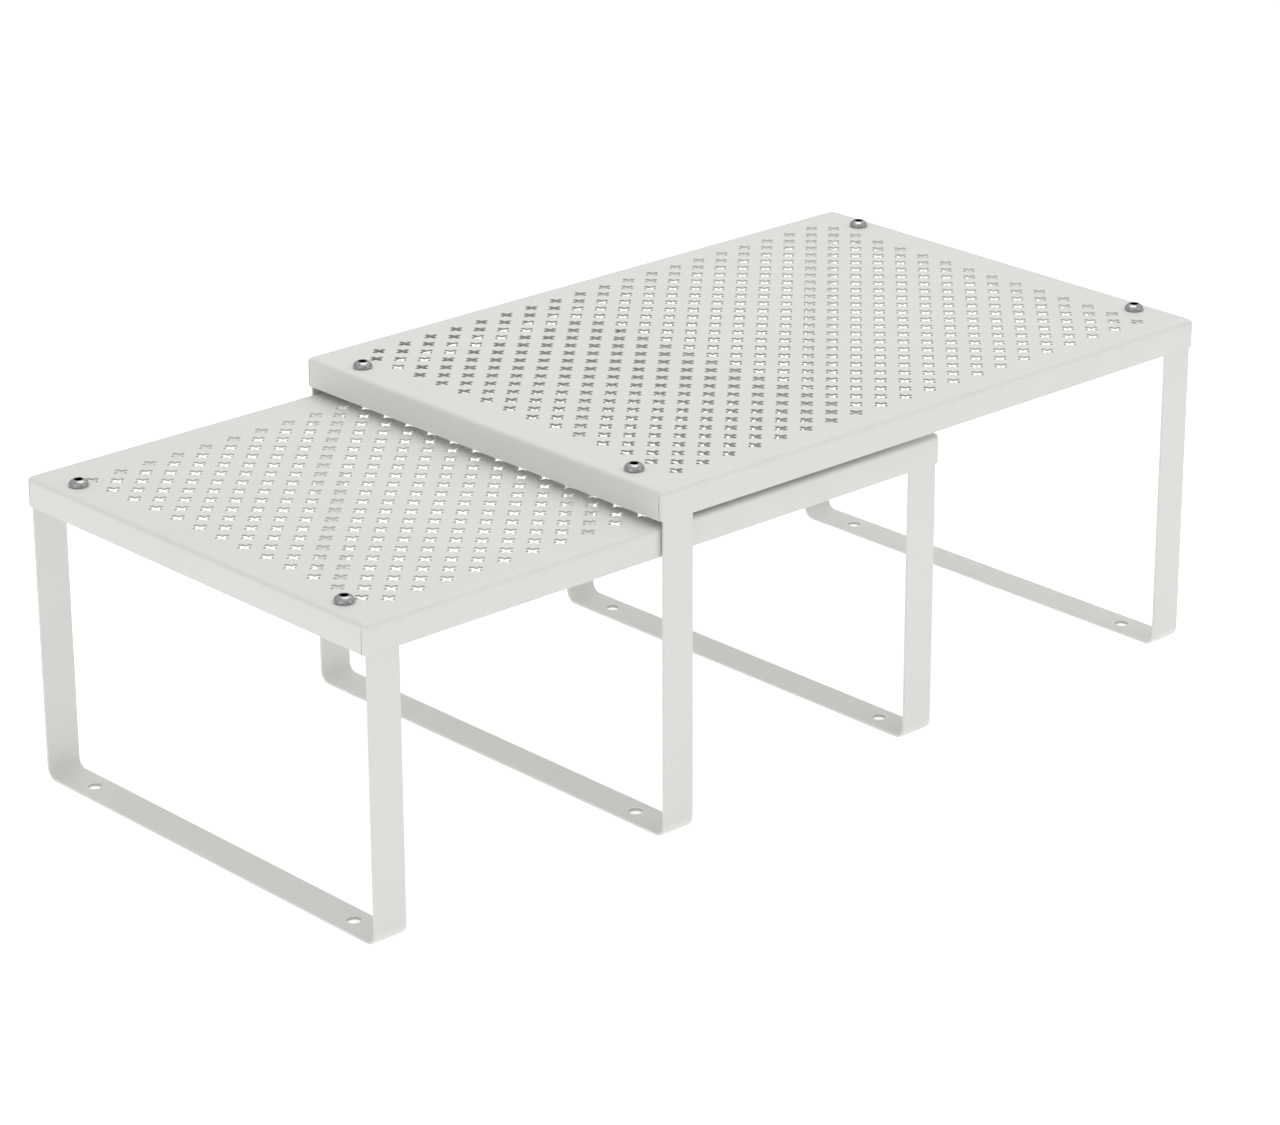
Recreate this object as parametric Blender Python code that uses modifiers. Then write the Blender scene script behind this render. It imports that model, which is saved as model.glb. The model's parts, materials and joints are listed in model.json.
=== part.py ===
"""Tiered shelf riser: a wide sheet-metal shelf and a lower one that slides out from under it.

Each shelf is a tray-shaped panel with its edges turned down, standing on two leg frames.
A leg frame is one flat strip: a bar on the floor, two uprights and two tabs turned in under
the panel, and each tab is held by a bolt and a nut. The lower shelf passes through the
upper shelf's left leg frame, so the set opens and closes along X.

Frame: metres, +X along the slide, +Y from front to back, +Z up. The origin is on the floor,
in the middle of the set's footprint with the lower shelf drawn half out.
"""
import math

import bmesh
import bpy

MM = 0.001

# Stock
SHEET = 1.0 * MM            # panel sheet thickness
STRIP_WIDTH = 20.0 * MM     # leg strip, across
STRIP = 1.5 * MM            # leg strip, thickness
SEAT_GAP = 0.3 * MM         # clearance between pieces that touch

# Shelves: length along X, depth along Y, height of the top face
UPPER_SIZE = (400.0 * MM, 284.0 * MM, 190.0 * MM)
LOWER_SIZE = (390.0 * MM, 276.0 * MM, 170.0 * MM)
PULL_OUT = 187.0 * MM       # how far the lower shelf's left end stands out past the upper's
LIP = 16.0 * MM             # height of the turned-down edge
FOLD_RADIUS = 2.5 * MM      # outside radius of the panel's folds
FOLD_SEGMENTS = 4

# Leg frames
LEG_INSET = 12.0 * MM       # panel end to the strip's middle
FOOT_RADIUS = 6.0 * MM      # bends at the floor, at mid thickness
TAB_RADIUS = 3.0 * MM       # bends under the panel, at mid thickness
TAB_LENGTH = 44.0 * MM      # side of the frame to the tab's end
BEND_SEGMENTS = 6

# M6 button-head bolts and their nuts
BOLT_SPACING = 216.0 * MM   # along Y, the same on both shelves
BOLT_RADIUS = 3.0 * MM
BOLT_LENGTH = 10.0 * MM     # under the head
BOLT_CHAMFER = 0.6 * MM
HEAD_RADIUS = 5.25 * MM
HEAD_HEIGHT = 3.3 * MM
HEAD_FLAT = 2.9 * MM        # radius of the flat on top of the dome
HEAD_RIM = 0.5 * MM         # straight edge below the dome
SOCKET_FLATS = 4.0 * MM     # hexagon socket
SOCKET_DEPTH = 2.0 * MM
BOLT_HOLE_RADIUS = 3.3 * MM
NUT_FLATS = 10.0 * MM
NUT_HEIGHT = 5.0 * MM
FLOOR_HOLE_RADIUS = 3.5 * MM  # plain holes in the bar on the floor, under the bolts
ROUND_STEPS = 24
DOME_STEPS = 4

# The footprint's middle, measured from the upper shelf's left front corner
CENTRE_X = (UPPER_SIZE[0] - PULL_OUT) / 2
UPPER_X = UPPER_SIZE[0] / 2 - CENTRE_X
LOWER_X = LOWER_SIZE[0] / 2 - PULL_OUT - CENTRE_X

PAINT = (0.76, 0.77, 0.74)
BRIGHT_STEEL = (0.42, 0.42, 0.43)


def clear_scene():
    """Remove every object that the file opened with."""
    for obj in list(bpy.data.objects):
        bpy.data.objects.remove(obj, do_unlink=True)


def new_collection(name):
    """A collection under the scene's own."""
    collection = bpy.data.collections.new(name)
    bpy.context.scene.collection.children.link(collection)
    return collection


def new_material(name, color, roughness, metallic):
    """A Principled material with the piece's finish."""
    material = bpy.data.materials.new(name)
    material.use_nodes = True
    shader = material.node_tree.nodes["Principled BSDF"]
    shader.inputs["Base Color"].default_value = (*color, 1.0)
    shader.inputs["Roughness"].default_value = roughness
    shader.inputs["Metallic"].default_value = metallic
    return material


def new_object(name, mesh, collection, location=(0.0, 0.0, 0.0)):
    """An object for a mesh, in a collection."""
    obj = bpy.data.objects.new(name, mesh)
    obj.location = location
    collection.objects.link(obj)
    return obj


def mesh_from(bm, name):
    """Write a bmesh to a new mesh and free it."""
    mesh = bpy.data.meshes.new(name)
    bm.to_mesh(mesh)
    bm.free()
    return mesh


def shade_round(mesh):
    """Shade round pieces smooth, with sharp edges kept."""
    mesh.shade_smooth()
    mesh.set_sharp_from_angle(angle=math.radians(35))


def baked_mesh(obj):
    """The object's mesh with its modifiers applied; the object itself is removed."""
    graph = bpy.context.evaluated_depsgraph_get()
    mesh = bpy.data.meshes.new_from_object(obj.evaluated_get(graph))
    bpy.data.objects.remove(obj, do_unlink=True)
    return mesh


def hole_cutter(name, holes, collection, parent):
    """Upright cylinders in one object. Each hole is (x, y, z middle, radius, height)."""
    bm = bmesh.new()
    for x, y, z, radius, height in holes:
        made = bmesh.ops.create_cone(
            bm, cap_ends=True, segments=ROUND_STEPS, radius1=radius, radius2=radius, depth=height)
        bmesh.ops.translate(bm, verts=made["verts"], vec=(x, y, z))
    cutter = new_object(name, mesh_from(bm, name), collection)
    cutter.parent = parent
    cutter.hide_render = True
    cutter.display_type = "WIRE"
    return cutter


def cut(obj, cutter):
    """Take the cutter's shape out of the object."""
    boolean = obj.modifiers.new("holes", "BOOLEAN")
    boolean.operation = "DIFFERENCE"
    boolean.solver = "EXACT"
    boolean.object = cutter


def solidify(obj, thickness, offset):
    """Give an open surface its sheet thickness."""
    modifier = obj.modifiers.new("sheet", "SOLIDIFY")
    modifier.thickness = thickness
    modifier.offset = offset
    modifier.use_even_offset = True


def build_panel(name, size, collection, cutters, shelf):
    """A sheet-metal tray, open below: a top face with its four edges turned down."""
    length, depth, height = size
    bm = bmesh.new()
    bmesh.ops.create_cube(bm, size=1.0)
    bmesh.ops.scale(bm, vec=(length, depth, LIP), verts=bm.verts)
    bmesh.ops.translate(bm, vec=(0.0, 0.0, height - LIP / 2), verts=bm.verts)
    underside = [face for face in bm.faces if face.normal.z < -0.5]
    bmesh.ops.delete(bm, geom=underside, context="FACES_ONLY")
    panel = new_object(name, mesh_from(bm, name), collection)
    panel.parent = shelf

    bevel = panel.modifiers.new("folds", "BEVEL")
    bevel.width = FOLD_RADIUS
    bevel.segments = FOLD_SEGMENTS
    bevel.limit_method = "ANGLE"
    solidify(panel, SHEET, -1.0)

    holes = [
        (x, y, height, BOLT_HOLE_RADIUS, 4 * SHEET)
        for x in leg_positions(length)
        for y in bolt_positions()
    ]
    cut(panel, hole_cutter(name + "_holes", holes, cutters, shelf))
    return panel


def leg_positions(length):
    """X of the left and right leg frames, from the shelf's middle."""
    return (-length / 2 + LEG_INSET, length / 2 - LEG_INSET)


def bolt_positions():
    """Y of the front and back bolts, from the shelf's middle."""
    return (-BOLT_SPACING / 2, BOLT_SPACING / 2)


def filleted_path(corners, radii):
    """An open path of (y, z) points whose inner corners are round."""
    path = [corners[0]]
    for before, corner, after, radius in zip(corners, corners[1:-1], corners[2:], radii):
        into = unit(corner, before)
        out = unit(corner, after)
        centre = (corner[0] + radius * (into[0] + out[0]), corner[1] + radius * (into[1] + out[1]))
        for step in range(BEND_SEGMENTS + 1):
            turn = math.pi / 2 * step / BEND_SEGMENTS
            path.append((
                centre[0] - radius * (out[0] * math.cos(turn) + into[0] * math.sin(turn)),
                centre[1] - radius * (out[1] * math.cos(turn) + into[1] * math.sin(turn)),
            ))
    path.append(corners[-1])
    return path


def unit(start, end):
    """The direction from one (y, z) point to another."""
    run = (end[0] - start[0], end[1] - start[1])
    reach = math.hypot(*run)
    return (run[0] / reach, run[1] / reach)


def leg_path(size):
    """The strip's middle line, from the front tab round the floor to the back tab."""
    depth, height = size[1], size[2]
    side = depth / 2 - SHEET - SEAT_GAP - STRIP / 2
    tab_end = depth / 2 - TAB_LENGTH
    top = height - SHEET - SEAT_GAP - STRIP / 2
    floor = STRIP / 2
    corners = [
        (-tab_end, top), (-side, top), (-side, floor), (side, floor), (side, top), (tab_end, top),
    ]
    return filleted_path(corners, [TAB_RADIUS, FOOT_RADIUS, FOOT_RADIUS, TAB_RADIUS])


def build_leg(name, size, x, collection, cutters, shelf):
    """One leg frame: a flat strip bent to a bar, two uprights and two tabs."""
    bm = bmesh.new()
    line = [bm.verts.new((x - STRIP_WIDTH / 2, y, z)) for y, z in leg_path(size)]
    edges = [bm.edges.new(pair) for pair in zip(line, line[1:])]
    swept = bmesh.ops.extrude_edge_only(bm, edges=edges)["geom"]
    moved = [item for item in swept if isinstance(item, bmesh.types.BMVert)]
    bmesh.ops.translate(bm, verts=moved, vec=(STRIP_WIDTH, 0.0, 0.0))
    leg = new_object(name, mesh_from(bm, name), collection)
    leg.parent = shelf
    solidify(leg, STRIP, 0.0)

    tab_height = size[2] - SHEET - SEAT_GAP - STRIP / 2
    holes = []
    for y in bolt_positions():
        holes.append((x, y, tab_height, BOLT_HOLE_RADIUS, 3 * STRIP))
        holes.append((x, y, STRIP / 2, FLOOR_HOLE_RADIUS, 3 * STRIP))
    cut(leg, hole_cutter(name + "_holes", holes, cutters, shelf))
    shade_round(leg.data)
    return leg


def bolt_profile():
    """Half the bolt's outline as (radius, z), from the head's top down to the shank's tip."""
    start = math.asin(HEAD_FLAT / HEAD_RADIUS)
    rise = (HEAD_HEIGHT - HEAD_RIM) / math.cos(start)
    profile = [(0.0, HEAD_HEIGHT)]
    for step in range(DOME_STEPS + 1):
        turn = start + (math.pi / 2 - start) * step / DOME_STEPS
        profile.append((HEAD_RADIUS * math.sin(turn), HEAD_RIM + rise * math.cos(turn)))
    profile += [
        (HEAD_RADIUS, 0.0),
        (BOLT_RADIUS, 0.0),
        (BOLT_RADIUS, BOLT_CHAMFER - BOLT_LENGTH),
        (BOLT_RADIUS - BOLT_CHAMFER, -BOLT_LENGTH),
        (0.0, -BOLT_LENGTH),
    ]
    return profile


def hexagon_prism(name, flats, height, z, collection):
    """An upright hexagon about Z, the given distance across its flats, with its middle at z."""
    bm = bmesh.new()
    corner_radius = flats / math.sqrt(3)
    bmesh.ops.create_cone(
        bm, cap_ends=True, segments=6, radius1=corner_radius, radius2=corner_radius, depth=height)
    bmesh.ops.translate(bm, vec=(0.0, 0.0, z), verts=bm.verts)
    return new_object(name, mesh_from(bm, name), collection)


def bolt_mesh(collection):
    """A button-head bolt about Z, with the underside of its head at the origin."""
    bm = bmesh.new()
    line = [bm.verts.new((x, 0.0, z)) for x, z in bolt_profile()]
    for pair in zip(line, line[1:]):
        bm.edges.new(pair)
    turned = new_object("bolt_profile", mesh_from(bm, "bolt_profile"), collection)
    screw = turned.modifiers.new("turned", "SCREW")
    screw.axis = "Z"
    screw.steps = ROUND_STEPS
    screw.render_steps = ROUND_STEPS
    screw.use_merge_vertices = True
    screw.merge_threshold = 0.00001
    socket = hexagon_prism(
        "bolt_socket", SOCKET_FLATS, 2 * SOCKET_DEPTH, HEAD_HEIGHT, collection)
    cut(turned, socket)
    mesh = baked_mesh(turned)
    mesh.name = "bolt"
    bpy.data.objects.remove(socket, do_unlink=True)
    shade_round(mesh)
    return mesh


def nut_mesh(collection):
    """A hexagon nut about Z, with its top face at the origin."""
    nut = hexagon_prism("nut_blank", NUT_FLATS, NUT_HEIGHT, -NUT_HEIGHT / 2, collection)
    bore = (0.0, 0.0, -NUT_HEIGHT / 2, BOLT_HOLE_RADIUS, 2 * NUT_HEIGHT)
    cutter = hole_cutter("nut_bore", [bore], collection, None)
    cut(nut, cutter)
    mesh = baked_mesh(nut)
    mesh.name = "nut"
    bpy.data.objects.remove(cutter, do_unlink=True)
    return mesh


def build_shelf(prefix, size, x, parts, cutters, meshes, materials):
    """A panel, two leg frames and their fasteners, under one empty on the floor."""
    shelf = new_object(prefix + "_shelf", None, parts, location=(x, 0.0, 0.0))
    painted = [build_panel(prefix + "_panel", size, parts, cutters, shelf)]
    head_seat = size[2] + SEAT_GAP
    nut_seat = size[2] - SHEET - STRIP - 2 * SEAT_GAP
    for end, leg_x in zip(("left", "right"), leg_positions(size[0])):
        name = f"{prefix}_{end}_leg"
        painted.append(build_leg(name, size, leg_x, parts, cutters, shelf))
        for side, bolt_y in zip(("front", "back"), bolt_positions()):
            place = f"{prefix}_{end}_{side}"
            bolt = new_object(place + "_bolt", meshes["bolt"], parts, (leg_x, bolt_y, head_seat))
            nut = new_object(place + "_nut", meshes["nut"], parts, (leg_x, bolt_y, nut_seat))
            bolt.parent = shelf
            nut.parent = shelf
    for obj in painted:
        obj.data.materials.append(materials["paint"])
    return shelf


def main():
    """Build the set with the lower shelf drawn half out."""
    clear_scene()
    parts = new_collection("tiered_shelf_riser")
    cutters = new_collection("cutters")
    materials = {
        "paint": new_material("powder_coat", PAINT, 0.5, 0.0),
        "steel": new_material("bright_steel", BRIGHT_STEEL, 0.25, 1.0),
    }
    meshes = {"bolt": bolt_mesh(cutters), "nut": nut_mesh(cutters)}
    for mesh in meshes.values():
        mesh.materials.clear()
        mesh.materials.append(materials["steel"])
    build_shelf("upper", UPPER_SIZE, UPPER_X, parts, cutters, meshes, materials)
    build_shelf("lower", LOWER_SIZE, LOWER_X, parts, cutters, meshes, materials)


main()
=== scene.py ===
"""Looks of the tiered shelf riser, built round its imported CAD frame.

A finer piece of the same size stands for every CAD node, in the same place: two perforated
panels with open corner seams, four leg frames of rounded strip, and threaded bolts and nuts.
Lengths are in metres. Each piece's place comes from its CAD node's box.
"""

import json
import math

import bmesh
import bpy
from mathutils import Euler, Matrix, Vector, geometry

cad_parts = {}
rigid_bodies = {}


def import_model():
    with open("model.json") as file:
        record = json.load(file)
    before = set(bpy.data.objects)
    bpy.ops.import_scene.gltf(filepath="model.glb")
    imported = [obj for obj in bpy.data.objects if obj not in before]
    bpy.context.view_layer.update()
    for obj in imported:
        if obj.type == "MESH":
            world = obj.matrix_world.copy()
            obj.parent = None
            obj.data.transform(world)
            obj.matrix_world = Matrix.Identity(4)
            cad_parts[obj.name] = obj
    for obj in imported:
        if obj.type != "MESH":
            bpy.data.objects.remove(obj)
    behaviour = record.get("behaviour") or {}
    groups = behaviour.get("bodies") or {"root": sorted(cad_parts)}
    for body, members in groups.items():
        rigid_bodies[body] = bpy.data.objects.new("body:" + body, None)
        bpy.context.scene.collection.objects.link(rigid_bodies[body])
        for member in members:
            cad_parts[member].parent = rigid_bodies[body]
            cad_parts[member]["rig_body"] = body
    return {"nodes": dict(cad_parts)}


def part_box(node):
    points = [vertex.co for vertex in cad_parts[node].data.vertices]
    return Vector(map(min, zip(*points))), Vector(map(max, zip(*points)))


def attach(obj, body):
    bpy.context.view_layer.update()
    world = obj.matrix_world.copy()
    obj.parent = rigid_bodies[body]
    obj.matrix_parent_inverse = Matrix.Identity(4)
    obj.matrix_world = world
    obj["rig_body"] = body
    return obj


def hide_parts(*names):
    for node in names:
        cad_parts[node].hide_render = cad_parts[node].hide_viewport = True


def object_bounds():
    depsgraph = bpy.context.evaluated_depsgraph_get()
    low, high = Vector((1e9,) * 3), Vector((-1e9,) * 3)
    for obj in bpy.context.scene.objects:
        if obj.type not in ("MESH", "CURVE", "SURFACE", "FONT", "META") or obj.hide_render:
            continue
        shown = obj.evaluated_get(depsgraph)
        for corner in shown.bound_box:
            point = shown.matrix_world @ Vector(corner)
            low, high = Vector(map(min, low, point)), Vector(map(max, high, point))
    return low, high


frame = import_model()
cad_low, cad_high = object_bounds()

MM = 0.001
WELD = 0.002 * MM             # points of a piece nearer than this are one
FLAT_WELD = 1e-5              # the same while a flat face is cut into triangles, in millimetres
INSIDE_FACES = 1              # the kind of triangulation that stops at the outlines

# The names of the CAD nodes
SHELVES = ("upper", "lower")
ENDS = ("left", "right")
SIDES = ("front", "back")

# Panels: sheet, folds and corners
SHEET = 1.0 * MM
FOLD_RADIUS = 2.5 * MM        # outside of the fold between top and lip
FOLD_STEPS = 5
CORNER_RADIUS = 3.0 * MM      # outside of the corner, seen from above
CORNER_STEPS = 11
SEAM_TOP = 3.2 * MM           # the open seam between two lips starts this far below the top
EDGE = 0.15 * MM              # the coat's rounding on every cut edge of the sheet

# Panels: the plus-shaped holes stand on every other point of a square lattice
LATTICE = 9.13 * MM
CROSS_REACH = 4.2 * MM        # middle to an arm's end
CROSS_HALF_WIDTH = 1.25 * MM
CROSS_FILLET = 0.5 * MM
ARM_END_STEPS = 6
FILLET_STEPS = 2
LATTICES = {                  # columns, rows, first hole's place in its row, shift along Y
    "upper": (39, 28, 0, 0.0),
    "lower": (39, 26, 1, -4.2 * MM),
}

# Leg frames
STRIP = 1.5 * MM
FOOT_RADIUS = 6.0 * MM        # bends at the floor, at mid thickness
TAB_RADIUS = 3.0 * MM         # bends under the panel
TAB_LENGTH = 42.7 * MM        # outer face of the upright to the tab's end
BEND_STEPS = 12
STRIP_ROUND = 0.4 * MM        # rounding along the strip's edges
STRIP_ROUND_STEPS = 3

# Holes for the fasteners
BOLT_HOLE = 3.3 * MM
FLOOR_HOLE = 3.5 * MM
HOLE_STEPS = 32
HOLE_WALL = "hole_wall"       # the mesh attribute that marks the walls of holes

# M6 button-head bolt
ROUND_STEPS = 48
BOLT_LENGTH = 10.0 * MM
HEAD_RADIUS = 5.25 * MM
HEAD_HEIGHT = 3.3 * MM
HEAD_FLAT = 2.9 * MM          # radius of the flat on top of the dome
HEAD_RIM = 0.5 * MM           # height of the upright rim under the dome
HEAD_EDGE = 0.15 * MM
DOME_STEPS = 10
SOCKET_FLATS = 4.0 * MM
SOCKET_DEPTH = 2.0 * MM
SOCKET_MOUTH = 2.42 * MM      # radius of the small countersink round the socket
SOCKET_DRILL = 1.7 * MM
SOCKET_CONE = SOCKET_DRILL / 3    # depth of the drill's cone in the socket's floor
SOCKET_TURN = 3               # from one bolt's socket to the next, in points of a ring

# Threads and nut
THREAD_RADIUS = 3.0 * MM
THREAD_DEPTH = 0.6 * MM
THREAD_PITCH = 1.0 * MM
THREAD_ROWS = 10              # rows of points to a pitch
THREAD_FLANK = 0.25           # each flank's share of the pitch; the crest and the root have as much
THREAD_PLAY = 0.1 * MM        # between the bolt's thread and the nut's
NUT_MOUTH = THREAD_RADIUS + 3 * THREAD_PLAY
NUT_FLATS = 10.0 * MM
NUT_FACE = 4.75 * MM          # radius of the nut's flat face inside its chamfer
NUT_CHAMFER = math.radians(30)

# Shading: edges that turn by more than this stay sharp
SHEET_SHARP = math.radians(60)
FASTENER_SHARP = math.radians(35)

# Powder coat. A noise is its scale, per metre, and its detail. A bump is its strength and height.
COAT_DARK = (0.735, 0.74, 0.71)
COAT_LIGHT = (0.775, 0.78, 0.755)
COAT_CLOUDS = (28.0, 3.0)
COAT_GRAIN = (1400.0, 1.0)
COAT_PEEL = (620.0, 2.0)
COAT_ROUGHNESS = (0.38, 0.56)
COAT_GRAIN_BUMP = (0.15, 0.02 * MM)
COAT_PEEL_BUMP = (0.35, 0.05 * MM)
COAT_GLOSS = 0.2              # weight and roughness of the smooth skin on the coat
COAT_GLOSS_ROUGHNESS = 0.3
EDGE_COLOR = (0.52, 0.52, 0.50)
EDGE_REACH = 0.35 * MM        # the coat is thinner this near to an edge
EDGE_SAMPLES = 4
EDGE_TURN = 0.8               # cosine of the turn at which an edge is worn in full
EDGE_WEAR = 0.35              # how much of the edge colour then shows
HOLE_WALL_COAT_AND_SHADE = (0.50, 0.50, 0.48)    # the thin coat inside the punched holes, darkened further as painted shade on the hole walls

# Bright steel, in the same terms
STEEL_DARK = (0.30, 0.305, 0.30)
STEEL_LIGHT = (0.56, 0.565, 0.56)
# near black in the socket: painted shade in the recess
STEEL_SOCKET_PAINTED_SHADE = (0.035, 0.035, 0.035)
# the dark and light patches on the steel are painted reflections
STEEL_PAINTED_REFLECTIONS = (330.0, 3.0)
STEEL_REFLECTION_RANGE = (-0.4, 1.4)    # spreads the painted reflections over nearly all of dark to light
STEEL_SCRATCHES = (4200.0, 2.0)
STEEL_SCRATCH_BUMP = (0.2, 0.01 * MM)
STEEL_ROUGHNESS = (0.16, 0.38)
SCRATCH_STRETCH = (0.12, 1.0, 1.0)
SCRATCH_TURN = math.radians(35)
TURNING_SCALE = 1600.0        # rings left by the lathe
TURNING_DISTORTION = 2.5
TURNING_DETAIL = 2.0
TURNING_BUMP = (0.08, 0.02 * MM)
SOCKET_SHADE = (SOCKET_MOUTH + 0.02 * MM, SOCKET_MOUTH - 0.10 * MM)   # radii of the painted shade in the socket, clear to dark
SOCKET_SHADE_FLOOR = 0.5 * MM      # nothing below this height in the head is in the socket

# Camera, where the photographer stood
CAMERA_PLACE = (-1.4677, -1.6191, 0.945)
CAMERA_AZIMUTH = math.radians(42.34)   # heading, clockwise from +Y
CAMERA_DIP = math.radians(21.52)
CAMERA_ROLL = math.radians(-0.22)
CAMERA_LENS = 122.0           # focal length and sensor width, in millimetres
CAMERA_SENSOR = 36.0
CAMERA_CLIP = (0.05, 50.0)

# Floor
FLOOR_HALF = 12.0             # from its middle to a side
FLOOR_HEIGHT = -0.05 * MM     # just clear of the bars, which would flicker on it
FLOOR_GLOW = 0.38             # the lit table under the set keeps its own shadows pale
FLOOR_DARK = (0.93, 0.93, 0.93)
FLOOR_LIGHT = (0.95, 0.95, 0.95)
FLOOR_CLOUDS = (3.0, 2.0)
FLOOR_ROUGHNESS = 0.7

# Light
WHITE = (1.0, 1.0, 1.0, 1.0)
ROOM_HIGH = 0.70              # the room's brightness overhead
ROOM_LOW = 0.25               # and at the horizon
ROOM_RISE = 0.35              # sine of the elevation at which the full brightness is reached
SOFTBOXES = {                 # place from the set's middle, width and power in watts
    "softbox_above": ((0.3, 0.2, 1.6), 1.2, 8.0),
    "softbox_front": ((1.4, -2.9, 1.4), 1.0, 4.5),
    "softbox_left": ((-3.6, -0.9, 1.2), 1.2, 8.0),
}


def mesh_from(bm, name):
    """A mesh made of a bmesh, which is freed."""
    mesh = bpy.data.meshes.new(name)
    bm.to_mesh(mesh)
    bm.free()
    return mesh


def new_piece(name, mesh, material, location=(0.0, 0.0, 0.0)):
    """An object for a mesh, which may be shared with other pieces of the same material."""
    if not mesh.materials:
        mesh.materials.append(material)
    piece = bpy.data.objects.new(name, mesh)
    piece.location = location
    bpy.context.scene.collection.objects.link(piece)
    return piece


def shade(mesh, sharp_angle):
    """Smooth shading, with edges sharper than the angle kept."""
    mesh.shade_smooth()
    mesh.set_sharp_from_angle(angle=sharp_angle)


def even_normals(piece):
    """Large flat faces stay flat in shading, and the small roundings beside them take the turn."""
    weighted = piece.modifiers.new("even_normals", "WEIGHTED_NORMAL")
    weighted.keep_sharp = True


def stands_for(piece, node):
    """The piece takes a CAD node's place on its body, and the node is hidden."""
    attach(piece, frame["nodes"][node]["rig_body"])
    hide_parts(node)


# Outlines and flat plates with holes

def circle_outline(x, y, radius):
    """A round hole's outline."""
    turns = [2 * math.pi * step / HOLE_STEPS for step in range(HOLE_STEPS)]
    return [(x + radius * math.cos(turn), y + radius * math.sin(turn)) for turn in turns]


def arc(centre, radius, start, end, steps):
    """Points on an arc, both ends included. Angles are in degrees."""
    turns = [math.radians(start + (end - start) * step / steps) for step in range(steps + 1)]
    return [
        (centre[0] + radius * math.cos(turn), centre[1] + radius * math.sin(turn))
        for turn in turns
    ]


def cross_outline(x, y, grow):
    """A plus-shaped hole's outline with round arm ends, grown all round by a little."""
    half = CROSS_HALF_WIDTH + grow
    fillet = CROSS_FILLET - grow
    arm = arc((CROSS_REACH - CROSS_HALF_WIDTH, 0.0), half, -90, 90, ARM_END_STEPS)
    arm += arc((half + fillet, half + fillet), fillet, 270, 180, FILLET_STEPS)
    points = []
    for c, s in ((1, 0), (0, 1), (-1, 0), (0, -1)):
        points += [(x + c * px - s * py, y + s * px + c * py) for px, py in arm]
    return points


def new_sheet():
    """An empty bmesh whose faces can be marked as walls of holes."""
    bm = bmesh.new()
    bm.faces.layers.float.new(HOLE_WALL)
    return bm


def join_rings(bm, rings, skip=()):
    """Faces between closed rings of the same number of points, but for the (row, column) skipped."""
    faces = []
    for row, (one, two) in enumerate(zip(rings, rings[1:])):
        for column in range(len(one)):
            if (row, column) not in skip:
                after = (column + 1) % len(one)
                faces.append(bm.faces.new((one[column], two[column], two[after], one[after])))
    return faces


def pierce(bm, border, holes, top, bottom):
    """Two flat faces inside a border, one above the other, and the walls of the holes in them.

    A hole is its outline at the faces and its outline inside the sheet, which is a little
    smaller: the narrow slope between the two is the rounding of the cut edge. The walls are
    marked for the coat's material.
    """
    flat = [Vector(point) / MM for point in border]
    loops = [list(range(len(border)))]
    for wide, _ in holes:
        loops.append(list(range(len(flat), len(flat) + len(wide))))
        flat += [Vector(point) / MM for point in wide]
    found = geometry.delaunay_2d_cdt(flat, [], loops, INSIDE_FACES, FLAT_WELD)
    triangles, first_vertex, loops_of = found[2], found[3], found[5]

    upper = [bm.verts.new((p.x * MM, p.y * MM, top)) for p in flat]
    lower = [bm.verts.new((p.x * MM, p.y * MM, bottom)) for p in flat]
    for triangle, inside in zip(triangles, loops_of):
        if list(inside) != [0]:
            continue
        corners = [first_vertex[v][0] for v in triangle]
        bm.faces.new([upper[v] for v in corners])
        bm.faces.new([lower[v] for v in reversed(corners)])
    for loop, (_, inner) in zip(loops[1:], holes):
        rings = [
            [upper[v] for v in loop],
            [bm.verts.new((x, y, top - EDGE)) for x, y in inner],
            [bm.verts.new((x, y, bottom + EDGE)) for x, y in inner],
            [lower[v] for v in loop],
        ]
        for face in join_rings(bm, rings):
            face[bm.faces.layers.float[HOLE_WALL]] = 1.0


def round_hole(x, y, radius):
    """A round hole for pierce."""
    return circle_outline(x, y, radius + EDGE), circle_outline(x, y, radius)


def finish_mesh(bm):
    """Weld the parts of a piece together and turn every face outwards."""
    bmesh.ops.remove_doubles(bm, verts=bm.verts, dist=WELD)
    bmesh.ops.recalc_face_normals(bm, faces=bm.faces)


def bolt_middles(prefix):
    """Where the shelf's four bolts stand, by the name of the place, from their CAD nodes."""
    middles = {}
    for end in ENDS:
        for side in SIDES:
            low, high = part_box(f"{prefix}_{end}_{side}_bolt")
            middles[f"{prefix}_{end}_{side}"] = (low + high) / 2
    return middles


# Panels

def corner_ring(low, high, inset):
    """The panel's outline at a distance inside its outer faces, seen from above."""
    points = []
    corners = ((high.x, high.y), (low.x, high.y), (low.x, low.y), (high.x, low.y))
    for quarter, (x, y) in enumerate(corners):
        centre = (
            x + CORNER_RADIUS * (-1 if quarter in (0, 3) else 1),
            y + CORNER_RADIUS * (-1 if quarter in (0, 1) else 1),
        )
        start = 90 * quarter
        points += arc(centre, CORNER_RADIUS - inset, start, start + 90, CORNER_STEPS)
    return points


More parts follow.
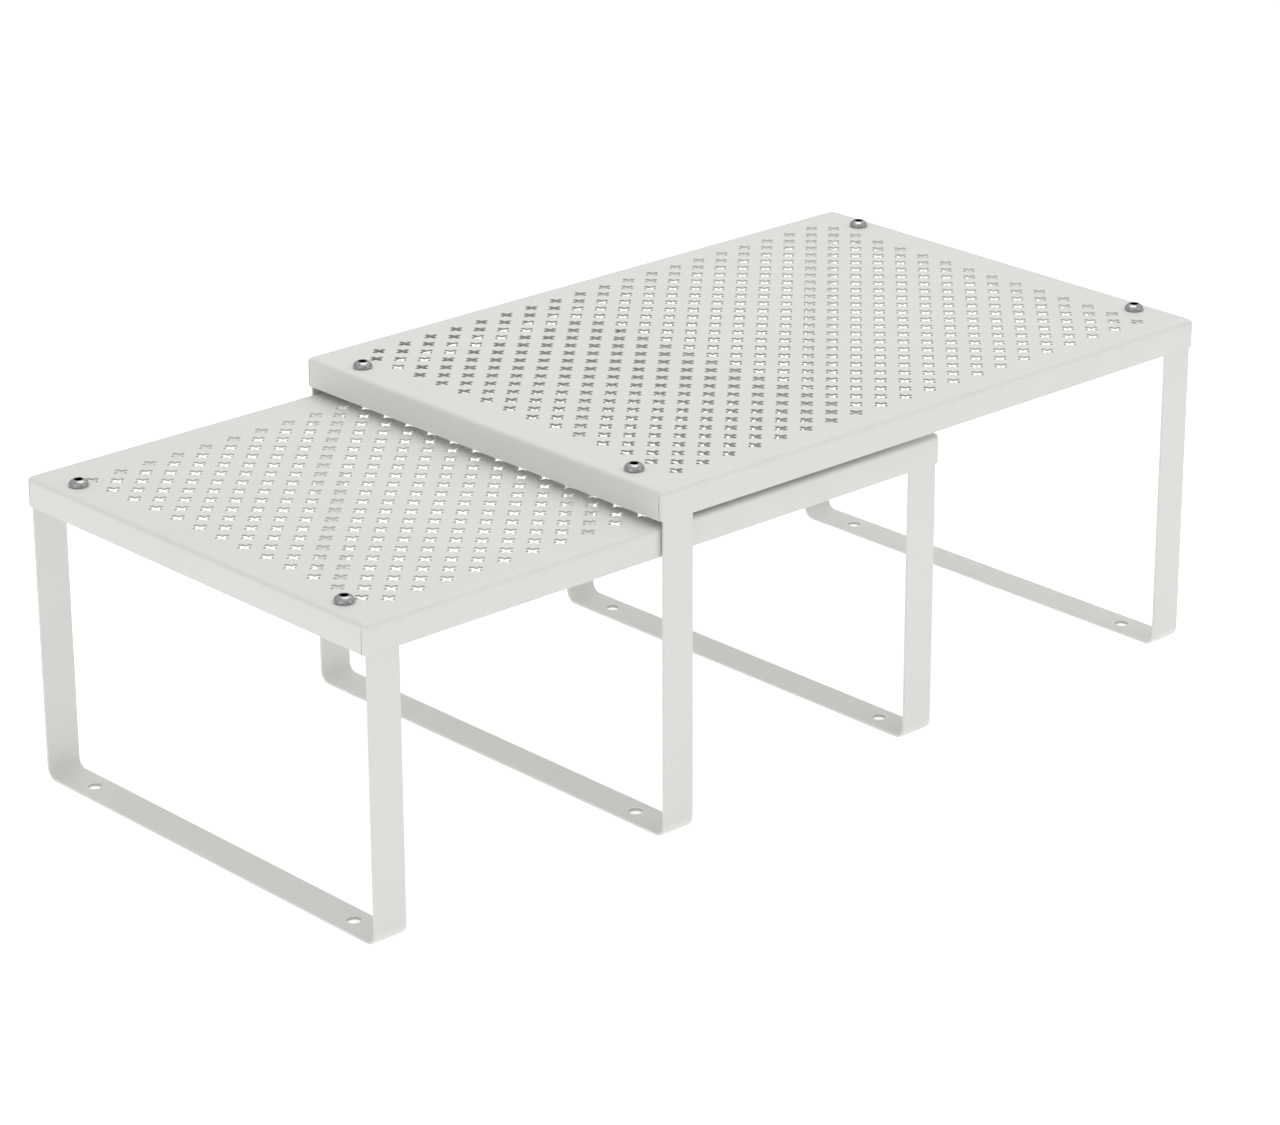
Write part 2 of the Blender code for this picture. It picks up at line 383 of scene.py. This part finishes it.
def fold_section(low, high):
    """The folded edge's outline as (inset, z): down the outside, round the lip and up the inside.

    Also gives the two rows between which the corner seams are open.
    """
    outside, inside = [], []
    inner_radius = FOLD_RADIUS - SHEET
    for step in range(FOLD_STEPS + 1):
        turn = math.pi / 2 * step / FOLD_STEPS
        centre = high.z - FOLD_RADIUS
        for side, radius in ((outside, FOLD_RADIUS), (inside, inner_radius)):
            side.append((FOLD_RADIUS - radius * math.sin(turn), centre + radius * math.cos(turn)))
    outside += [(0.0, high.z - SEAM_TOP), (0.0, low.z + EDGE), (EDGE, low.z)]
    inside += [(SHEET, high.z - SEAM_TOP), (SHEET, low.z + EDGE), (SHEET - EDGE, low.z)]
    seam_start = FOLD_STEPS + 1
    seam_end = len(outside) + len(inside) - 1 - seam_start
    return outside + inside[::-1], seam_start, seam_end


def seam_columns():
    """The seam is the slice of each corner that lies next to the short end lip."""
    columns = []
    for quarter in range(4):
        first = quarter * (CORNER_STEPS + 1)
        columns.append(first + CORNER_STEPS - 1 if quarter % 2 else first)
    return columns


def folded_edge(bm, low, high):
    """The turned-down lips all round, with an open seam at each corner."""
    section, seam_start, seam_end = fold_section(low, high)
    rings = [
        [bm.verts.new((x, y, z)) for x, y in corner_ring(low, high, inset)]
        for inset, z in section
    ]
    columns = seam_columns()
    seam_rows = range(seam_start, seam_end)
    join_rings(bm, rings, skip={(row, column) for row in seam_rows for column in columns})
    for column in columns:
        after = column + 1
        bm.faces.new((
            rings[seam_start][column], rings[seam_start][after],
            rings[seam_end][after], rings[seam_end][column],
        ))
        for side in (column, after):
            bm.faces.new([rings[row][side] for row in range(seam_start, seam_end + 1)])


def lattice_points(low, high, columns, rows, parity, shift):
    """Middles of the plus-shaped holes."""
    first_x = (low.x + high.x) / 2 - LATTICE * (columns - 1) / 2
    first_y = (low.y + high.y) / 2 - LATTICE * (rows - 1) / 2 + shift
    return [
        (first_x + LATTICE * column, first_y + LATTICE * row)
        for row in range(rows)
        for column in range(columns)
        if (row + column) % 2 == parity
    ]


def build_panel(prefix, material):
    """One perforated sheet with its edges turned down."""
    node = prefix + "_panel"
    low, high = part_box(node)
    bm = new_sheet()
    holes = [
        (cross_outline(x, y, EDGE), cross_outline(x, y, 0.0))
        for x, y in lattice_points(low, high, *LATTICES[prefix])
    ]
    holes += [round_hole(at.x, at.y, BOLT_HOLE) for at in bolt_middles(prefix).values()]
    pierce(bm, corner_ring(low, high, FOLD_RADIUS), holes, high.z, high.z - SHEET)
    folded_edge(bm, low, high)
    finish_mesh(bm)
    panel = new_piece(node + "_sheet", mesh_from(bm, node + "_sheet"), material)
    shade(panel.data, SHEET_SHARP)
    even_normals(panel)
    stands_for(panel, node)


# Leg frames

def strip_path(low, high):
    """The strip's middle line, from tab to tab, as stations of (y, z, outward y, outward z)."""
    middle = (low.y + high.y) / 2
    side = (high.y - low.y) / 2 - STRIP / 2
    top = high.z - STRIP / 2
    floor = low.z + STRIP / 2
    tab_end = side + STRIP / 2 - TAB_LENGTH + EDGE
    bends = (
        ((-1, 1), top, TAB_RADIUS, 90),
        ((-1, -1), floor, FOOT_RADIUS, 180),
        ((1, -1), floor, FOOT_RADIUS, 270),
        ((1, 1), top, TAB_RADIUS, 0),
    )
    path = [(middle - tab_end, top, 0.0, 1.0)]
    for (sy, sz), height, radius, start in bends:
        centre = (middle + sy * (side - radius), height - sz * radius)
        for step in range(BEND_STEPS + 1):
            turn = math.radians(start + 90 * step / BEND_STEPS)
            out = (math.cos(turn), math.sin(turn))
            path.append((centre[0] + radius * out[0], centre[1] + radius * out[1], *out))
    path.append((middle + tab_end, top, 0.0, 1.0))
    return path


def strip_section(half_width, half_thickness):
    """The strip's cross-section as (across, outward), with rounded corners."""
    points = []
    corners = ((1, 1), (-1, 1), (-1, -1), (1, -1))
    for quarter, (su, sv) in enumerate(corners):
        centre = (su * (half_width - STRIP_ROUND), sv * (half_thickness - STRIP_ROUND))
        start = 90 * quarter
        points += arc(centre, STRIP_ROUND, start, start + 90, STRIP_ROUND_STEPS)
    return points


def strip_ring(bm, x, station, section):
    """The cross-section's points at one place along the strip."""
    y, z, out_y, out_z = station
    return [bm.verts.new((x + u, y + v * out_y, z + v * out_z)) for u, v in section]


def strip_flat(bm, x, half_width, stations, bolts, radius):
    """The two faces of a level stretch of strip, with the holes that stand in it."""
    (y1, z, *_), (y2, *_) = stations
    front, back = min(y1, y2), max(y1, y2)
    edge = half_width - STRIP_ROUND
    border = [(x - edge, front), (x + edge, front), (x + edge, back), (x - edge, back)]
    holes = [round_hole(x, y, radius) for y in bolts if front < y < back]
    pierce(bm, border, holes, z + STRIP / 2, z - STRIP / 2)


def strip_end(bm, x, half_width, ring, station, away):
    """The rounded end of a tab."""
    past = (station[0] + away * EDGE, *station[1:])
    tip = strip_ring(bm, x, past, strip_section(half_width - EDGE, STRIP / 2 - EDGE))
    join_rings(bm, [ring, tip])
    bm.faces.new(tip)


def build_leg(prefix, end, material):
    """One leg frame: a flat strip bent to a bar, two uprights and two tabs."""
    node = f"{prefix}_{end}_leg"
    low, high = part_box(node)
    x = (low.x + high.x) / 2
    half_width = (high.x - low.x) / 2
    path = strip_path(low, high)
    section = strip_section(half_width, STRIP / 2)
    bm = new_sheet()
    rings = [strip_ring(bm, x, station, section) for station in path]

    tab, bar, other_tab = 0, 2 * (BEND_STEPS + 1), 4 * (BEND_STEPS + 1)
    wide_faces = (STRIP_ROUND_STEPS, 3 * STRIP_ROUND_STEPS + 2)
    flats = {(row, column) for row in (tab, bar, other_tab) for column in wide_faces}
    join_rings(bm, rings, skip=flats)
    bolts = [at.y for at in bolt_middles(prefix).values() if abs(at.x - x) < half_width]
    for row, radius in ((tab, BOLT_HOLE), (bar, FLOOR_HOLE), (other_tab, BOLT_HOLE)):
        strip_flat(bm, x, half_width, path[row:row + 2], bolts, radius)
    strip_end(bm, x, half_width, rings[0], path[0], 1)
    strip_end(bm, x, half_width, rings[-1], path[-1], -1)
    finish_mesh(bm)
    leg = new_piece(node + "_strip", mesh_from(bm, node + "_strip"), material)
    shade(leg.data, SHEET_SHARP)
    even_normals(leg)
    stands_for(leg, node)


# Fasteners

def round_turns():
    """The angles of a ring's points."""
    return [2 * math.pi * step / ROUND_STEPS for step in range(ROUND_STEPS)]


def ring_of(bm, point_at):
    """A ring of points, where point_at gives a turn's (radius, z)."""
    ring = []
    for turn in round_turns():
        radius, z = point_at(turn)
        ring.append(bm.verts.new((radius * math.cos(turn), radius * math.sin(turn), z)))
    return ring


def close_ring(bm, ring, z):
    """A shallow cone from a ring to a point on the axis."""
    tip = bm.verts.new((0.0, 0.0, z))
    for one, two in zip(ring, ring[1:] + ring[:1]):
        bm.faces.new((one, two, tip))


def hexagon_radius(turn, flats):
    """Distance from a hexagon's middle to its edge. A flat faces angle 0."""
    off_flat = (turn + math.pi / 6) % (math.pi / 3) - math.pi / 6
    return flats / 2 / math.cos(off_flat)


def thread_radius(turn, z):
    """The bolt's radius at a point of its thread: flat crests, sloping flanks, flat roots."""
    place = (z / THREAD_PITCH - turn / (2 * math.pi)) % 1.0
    height = (1.5 * THREAD_FLANK - abs(place - 0.5)) / THREAD_FLANK
    return THREAD_RADIUS - THREAD_DEPTH * (1 - min(1.0, max(0.0, height)))


def thread_rows(top, bottom):
    """Heights of the thread's rows of points."""
    count = math.ceil((top - bottom) / THREAD_PITCH * THREAD_ROWS)
    return [top + (bottom - top) * row / count for row in range(count + 1)]


def head_profile():
    """The head's outside as (radius, z), from the flat down the dome to the shank."""
    start = math.asin(HEAD_FLAT / HEAD_RADIUS)
    rise = (HEAD_HEIGHT - HEAD_RIM) / math.cos(start)
    profile = []
    for step in range(DOME_STEPS + 1):
        lean = start + (math.pi / 2 - start) * step / DOME_STEPS
        profile.append((HEAD_RADIUS * math.sin(lean), HEAD_RIM + rise * math.cos(lean)))
    profile += [
        (HEAD_RADIUS, HEAD_EDGE),
        (HEAD_RADIUS - HEAD_EDGE, 0.0),
        (THREAD_RADIUS, 0.0),
    ]
    return profile


def build_bolt_mesh(name, socket_turn):
    """A button-head bolt about Z, with the underside of its head at the origin."""
    bm = bmesh.new()
    socket_floor = HEAD_HEIGHT - SOCKET_DEPTH
    rings = [ring_of(bm, lambda turn: (SOCKET_DRILL, socket_floor))]
    for z in (socket_floor, HEAD_HEIGHT - HEAD_EDGE):
        rings.append(ring_of(
            bm, lambda turn, z=z: (hexagon_radius(turn + socket_turn, SOCKET_FLATS), z)))
    rings.append(ring_of(bm, lambda turn: (SOCKET_MOUTH, HEAD_HEIGHT)))
    for point in head_profile():
        rings.append(ring_of(bm, lambda turn, point=point: point))
    tip_radius = THREAD_RADIUS - THREAD_DEPTH
    for z in thread_rows(-THREAD_PITCH / THREAD_ROWS, -BOLT_LENGTH):
        limit = tip_radius + (z + BOLT_LENGTH)
        rings.append(ring_of(
            bm, lambda turn, z=z, limit=limit: (min(limit, thread_radius(turn, z)), z)))
    join_rings(bm, rings)
    close_ring(bm, rings[0], socket_floor - SOCKET_CONE)
    close_ring(bm, rings[-1], -BOLT_LENGTH)
    finish_mesh(bm)
    mesh = mesh_from(bm, name)
    shade(mesh, FASTENER_SHARP)
    return mesh


def build_nut_mesh(height, below_seat):
    """A hexagon nut about Z, with its top face at the origin, cut to the bolt's own thread."""
    bm = bmesh.new()

    def hexagon_rim(turn, side):
        """A corner of the chamfered rim: the chamfer reaches further down at the corners."""
        radius = hexagon_radius(turn, NUT_FLATS)
        drop = (radius - NUT_FACE) * math.tan(NUT_CHAMFER)
        return radius, (-drop if side > 0 else drop - height)

    rings = [
        ring_of(bm, lambda turn: (NUT_FACE, 0.0)),
        ring_of(bm, lambda turn: hexagon_rim(turn, 1)),
        ring_of(bm, lambda turn: hexagon_rim(turn, -1)),
        ring_of(bm, lambda turn: (NUT_FACE, -height)),
    ]
    for z in reversed(thread_rows(0.0, -height)):
        limit = NUT_MOUTH - min(-z, z + height)
        rings.append(ring_of(bm, lambda turn, z=z, limit=limit: (
            max(limit, thread_radius(turn, z + below_seat) + THREAD_PLAY), z)))
    join_rings(bm, rings + rings[:1])
    finish_mesh(bm)
    mesh = mesh_from(bm, "nut_threaded")
    shade(mesh, FASTENER_SHARP)
    return mesh


def build_fasteners(prefix, material):
    """The shelf's bolts and nuts, each in its CAD node's place."""
    nut_mesh = None
    for number, (place, at) in enumerate(bolt_middles(prefix).items()):
        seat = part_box(place + "_bolt")[0].z + BOLT_LENGTH
        nut_low, nut_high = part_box(place + "_nut")
        if nut_mesh is None:
            nut_mesh = build_nut_mesh(nut_high.z - nut_low.z, nut_high.z - seat)
        socket_steps = SOCKET_TURN * number % (ROUND_STEPS // 6)
        socket_turn = 2 * math.pi / ROUND_STEPS * socket_steps
        bolt_mesh = build_bolt_mesh(place + "_bolt_threaded", socket_turn)
        bolt = new_piece(place + "_bolt_threaded", bolt_mesh, material, (at.x, at.y, seat))
        nut = new_piece(place + "_nut_threaded", nut_mesh, material, (at.x, at.y, nut_high.z))
        stands_for(bolt, place + "_bolt")
        stands_for(nut, place + "_nut")


# Shader nodes

# A colour mix's sockets, which share their names with its number and vector sockets
MIX_ONE, MIX_TWO, MIX_RESULT = 6, 7, 2


def new_material(name):
    """A node material, its tree, its Principled shader and the object coordinates."""
    material = bpy.data.materials.new(name)
    material.use_nodes = True
    tree = material.node_tree
    place = tree.nodes.new("ShaderNodeTexCoord").outputs["Object"]
    return material, tree, tree.nodes["Principled BSDF"], place


def noise(tree, vector, scale, detail):
    """A noise texture's value output."""
    node = tree.nodes.new("ShaderNodeTexNoise")
    node.inputs["Scale"].default_value = scale
    node.inputs["Detail"].default_value = detail
    tree.links.new(vector, node.inputs["Vector"])
    return node.outputs["Fac"]


def remap(tree, value, wanted, given=(0.0, 1.0), curve="LINEAR"):
    """A value that runs over the given range, made to run over the wanted one."""
    node = tree.nodes.new("ShaderNodeMapRange")
    node.interpolation_type = curve
    node.inputs["From Min"].default_value = given[0]
    node.inputs["From Max"].default_value = given[1]
    node.inputs["To Min"].default_value = wanted[0]
    node.inputs["To Max"].default_value = wanted[1]
    tree.links.new(value, node.inputs["Value"])
    return node.outputs["Result"]


def mix_color(tree, factor, one, two):
    """A blend of two colours, each a tuple or another node's output."""
    node = tree.nodes.new("ShaderNodeMix")
    node.data_type = "RGBA"
    tree.links.new(factor, node.inputs["Factor"])
    for socket, color in ((node.inputs[MIX_ONE], one), (node.inputs[MIX_TWO], two)):
        if isinstance(color, tuple):
            socket.default_value = (*color, 1.0)
        else:
            tree.links.new(color, socket)
    return node.outputs[MIX_RESULT]


def bump(tree, height, strength, distance, before=None):
    """A bump node's normal, on top of another where one is given."""
    node = tree.nodes.new("ShaderNodeBump")
    node.inputs["Strength"].default_value = strength
    node.inputs["Distance"].default_value = distance
    tree.links.new(height, node.inputs["Height"])
    if before is not None:
        tree.links.new(before, node.inputs["Normal"])
    return node.outputs["Normal"]


# Powder coat

def edge_wear(tree):
    """0 on flat faces, rising towards EDGE_WEAR on the sheet's edges."""
    edge = tree.nodes.new("ShaderNodeBevel")
    edge.samples = EDGE_SAMPLES
    edge.inputs["Radius"].default_value = EDGE_REACH
    true_normal = tree.nodes.new("ShaderNodeNewGeometry").outputs["Normal"]
    turn = tree.nodes.new("ShaderNodeVectorMath")
    turn.operation = "DOT_PRODUCT"
    tree.links.new(edge.outputs["Normal"], turn.inputs[0])
    tree.links.new(true_normal, turn.inputs[1])
    return remap(tree, turn.outputs["Value"], (0.0, EDGE_WEAR), (1.0, EDGE_TURN))


def hole_walls(tree):
    """1 on the walls of holes, 0 elsewhere."""
    walls = tree.nodes.new("ShaderNodeAttribute")
    walls.attribute_name = HOLE_WALL
    return walls.outputs["Fac"]


def powder_coat():
    """Satin off-white powder coat: fine orange peel, faint clouding, thinner on edges; the hole walls
    darker, partly thin coat and partly painted shade.
    """
    material, tree, shader, place = new_material("powder_coat")
    color = mix_color(tree, noise(tree, place, *COAT_CLOUDS), COAT_DARK, COAT_LIGHT)
    color = mix_color(tree, edge_wear(tree), color, EDGE_COLOR)
    # the hole walls get a darker colour: a thinner coat, plus painted shade where the walls lie in
    # shadow
    color = mix_color(tree, hole_walls(tree), color, HOLE_WALL_COAT_AND_SHADE)
    tree.links.new(color, shader.inputs["Base Color"])

    grain = noise(tree, place, *COAT_GRAIN)
    tree.links.new(remap(tree, grain, COAT_ROUGHNESS), shader.inputs["Roughness"])
    normal = bump(tree, noise(tree, place, *COAT_PEEL), *COAT_PEEL_BUMP)
    normal = bump(tree, grain, *COAT_GRAIN_BUMP, normal)
    tree.links.new(normal, shader.inputs["Normal"])
    shader.inputs["Coat Weight"].default_value = COAT_GLOSS
    shader.inputs["Coat Roughness"].default_value = COAT_GLOSS_ROUGHNESS
    return material


# Bright steel

def painted_socket_shade(tree, place):
    """Where the socket's painted shade goes: 1 in the bolt's socket, 0 on the rest of the fasteners.
    """
    apart = tree.nodes.new("ShaderNodeSeparateXYZ")
    tree.links.new(place, apart.inputs["Vector"])
    flat = tree.nodes.new("ShaderNodeCombineXYZ")
    tree.links.new(apart.outputs["X"], flat.inputs["X"])
    tree.links.new(apart.outputs["Y"], flat.inputs["Y"])
    reach = tree.nodes.new("ShaderNodeVectorMath")
    reach.operation = "LENGTH"
    tree.links.new(flat.outputs["Vector"], reach.inputs[0])
    near_axis = remap(tree, reach.outputs["Value"], (0.0, 1.0), SOCKET_SHADE)
    in_head = tree.nodes.new("ShaderNodeMath")
    in_head.operation = "GREATER_THAN"
    in_head.inputs[1].default_value = SOCKET_SHADE_FLOOR
    tree.links.new(apart.outputs["Z"], in_head.inputs[0])
    both = tree.nodes.new("ShaderNodeMath")
    both.operation = "MULTIPLY"
    tree.links.new(near_axis, both.inputs[0])
    tree.links.new(in_head.outputs["Value"], both.inputs[1])
    return both.outputs["Value"]


def turning_marks(tree, place):
    """Fine rings round the fastener's axis."""
    rings = tree.nodes.new("ShaderNodeTexWave")
    rings.wave_type = "RINGS"
    rings.rings_direction = "Z"
    rings.inputs["Scale"].default_value = TURNING_SCALE
    rings.inputs["Distortion"].default_value = TURNING_DISTORTION
    rings.inputs["Detail"].default_value = TURNING_DETAIL
    tree.links.new(place, rings.inputs["Vector"])
    return rings.outputs["Fac"]


def scratch_marks(tree, place):
    """Fine scratches, drawn out along one direction."""
    stretch = tree.nodes.new("ShaderNodeMapping")
    stretch.inputs["Scale"].default_value = SCRATCH_STRETCH
    stretch.inputs["Rotation"].default_value = (0.0, 0.0, SCRATCH_TURN)
    tree.links.new(place, stretch.inputs["Vector"])
    return noise(tree, stretch.outputs["Vector"], *STEEL_SCRATCHES)


def bright_steel():
    """Plated steel: turning marks round the axis, fine scratches, dark and light patches painted as
    reflections, and painted shade in the socket.
    """
    material, tree, shader, place = new_material("bright_steel")
    # dark and light patches in the base colour are painted reflections of the room on the heads
    reflection_patches = remap(tree, noise(tree, place, *STEEL_PAINTED_REFLECTIONS), STEEL_REFLECTION_RANGE)
    color = mix_color(tree, reflection_patches, STEEL_DARK, STEEL_LIGHT)
    # the socket is painted near black: painted shade in the recess, not the steel's own colour
    color = mix_color(tree, painted_socket_shade(tree, place), color, STEEL_SOCKET_PAINTED_SHADE)
    tree.links.new(color, shader.inputs["Base Color"])
    shader.inputs["Metallic"].default_value = 1.0

    scratches = scratch_marks(tree, place)
    tree.links.new(remap(tree, scratches, STEEL_ROUGHNESS), shader.inputs["Roughness"])
    normal = bump(tree, turning_marks(tree, place), *TURNING_BUMP)
    normal = bump(tree, scratches, *STEEL_SCRATCH_BUMP, normal)
    tree.links.new(normal, shader.inputs["Normal"])
    return material


# Stage

def build_floor():
    """A plain white floor, wide enough to fill every view."""
    bm = bmesh.new()
    bmesh.ops.create_grid(bm, x_segments=1, y_segments=1, size=FLOOR_HALF)
    material, tree, shader, place = new_material("floor_paint")
    color = mix_color(tree, noise(tree, place, *FLOOR_CLOUDS), FLOOR_DARK, FLOOR_LIGHT)
    tree.links.new(color, shader.inputs["Base Color"])
    shader.inputs["Roughness"].default_value = FLOOR_ROUGHNESS
    shader.inputs["Emission Color"].default_value = WHITE
    shader.inputs["Emission Strength"].default_value = FLOOR_GLOW
    floor = new_piece("floor", mesh_from(bm, "floor"), material, (0.0, 0.0, FLOOR_HEIGHT))


def build_room():
    """A white room all round, darker at the horizon than overhead."""
    world = bpy.data.worlds.new("white_room")
    world.use_nodes = True
    tree = world.node_tree
    background = tree.nodes["Background"]
    background.inputs["Color"].default_value = WHITE
    direction = tree.nodes.new("ShaderNodeTexCoord").outputs["Generated"]
    apart = tree.nodes.new("ShaderNodeSeparateXYZ")
    tree.links.new(direction, apart.inputs["Vector"])
    strength = remap(
        tree, apart.outputs["Z"], (ROOM_LOW, ROOM_HIGH), (0.0, ROOM_RISE), "SMOOTHSTEP")
    tree.links.new(strength, background.inputs["Strength"])
    bpy.context.scene.world = world


def build_softboxes():
    """Square soft lights, each aimed at the middle of the set."""
    middle = (cad_low + cad_high) / 2
    for name, (offset, width, power) in SOFTBOXES.items():
        light = bpy.data.lights.new(name, "AREA")
        light.size = width
        light.energy = power
        lamp = bpy.data.objects.new(name, light)
        lamp.location = middle + Vector(offset)
        lamp.rotation_euler = (middle - lamp.location).to_track_quat("-Z", "Y").to_euler()
        bpy.context.scene.collection.objects.link(lamp)


def build_camera():
    """The camera at the photograph's viewing angle."""
    lens = bpy.data.cameras.new("camera")
    lens.lens = CAMERA_LENS
    lens.sensor_width = CAMERA_SENSOR
    lens.clip_start, lens.clip_end = CAMERA_CLIP
    camera = bpy.data.objects.new("camera", lens)
    camera.location = CAMERA_PLACE
    upright = Euler((math.pi / 2 - CAMERA_DIP, 0.0, -CAMERA_AZIMUTH)).to_matrix()
    camera.rotation_euler = (upright @ Matrix.Rotation(CAMERA_ROLL, 3, "Z")).to_euler()
    bpy.context.scene.collection.objects.link(camera)
    bpy.context.scene.camera = camera


def main():
    """Build both shelves and the stage."""
    paint = powder_coat()
    steel = bright_steel()
    for prefix in SHELVES:
        build_panel(prefix, paint)
        for end in ENDS:
            build_leg(prefix, end, paint)
        build_fasteners(prefix, steel)
    build_floor()
    build_room()
    build_softboxes()
    build_camera()
    bpy.context.scene.view_settings.view_transform = "Standard"


main()
